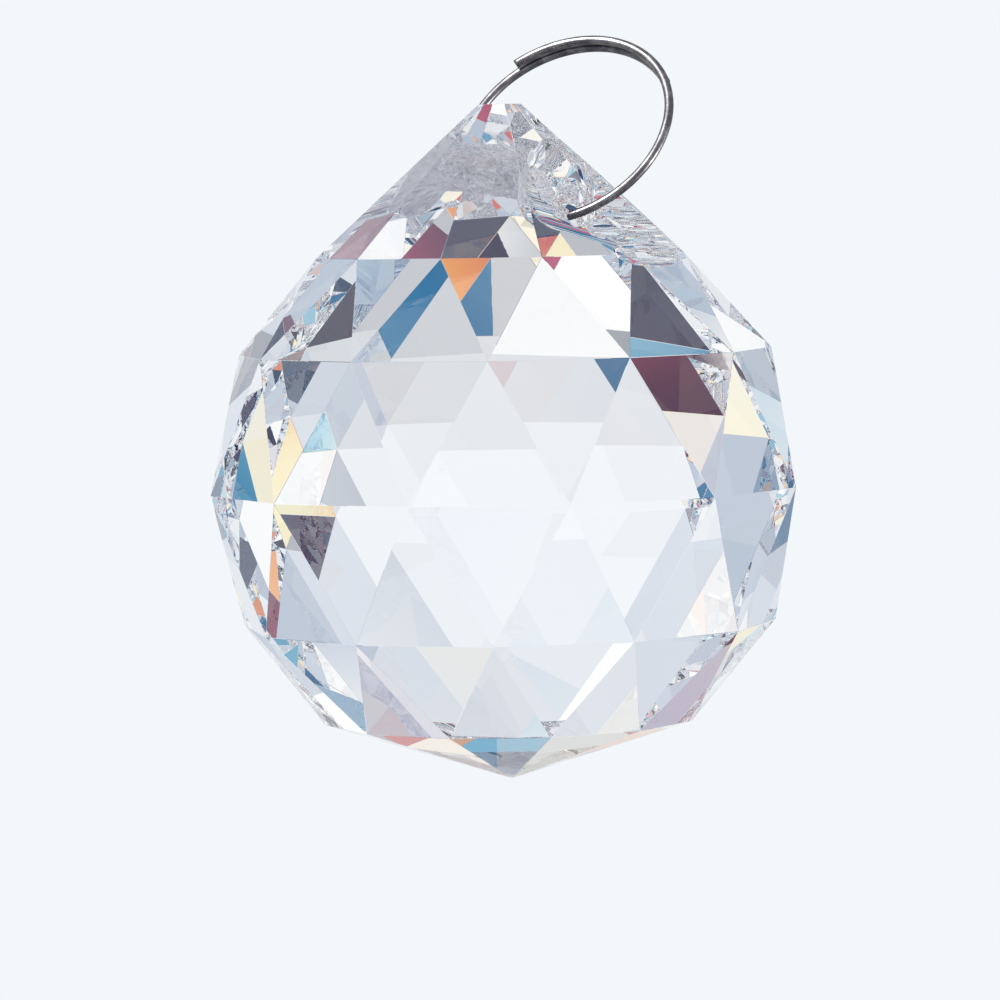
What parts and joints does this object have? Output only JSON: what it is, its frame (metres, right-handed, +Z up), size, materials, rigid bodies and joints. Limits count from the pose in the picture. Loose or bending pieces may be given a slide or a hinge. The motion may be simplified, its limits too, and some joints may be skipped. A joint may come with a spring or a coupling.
{
  "type": "crystal ball suncatcher",
  "caption": "Clear faceted glass ball with a pointed tip and foot, drilled across near the tip and hung from a split wire ring.",
  "frame": {"origin": "the inside of the split ring's overlapped wires, at the ring's highest point, where a thread or hook bears", "axes": "+Z up along the ball's axis from its foot to its tip, -Y towards the front, +X to the front's right"},
  "size_m": [0.0293, 0.0294, 0.0373],
  "materials": {
    "clear_crystal": "clear optical crystal glass, ground and polished to flat facets, with a frosted, chipped drill hole",
    "dark_steel_wire": "polished spring steel wire, dark nickel tone, with drawn streaks"
  },
  "bodies": {
    "root": {"crystal_ball": "clear_crystal", "split_ring": "dark_steel_wire"}
  },
  "joints": []
}
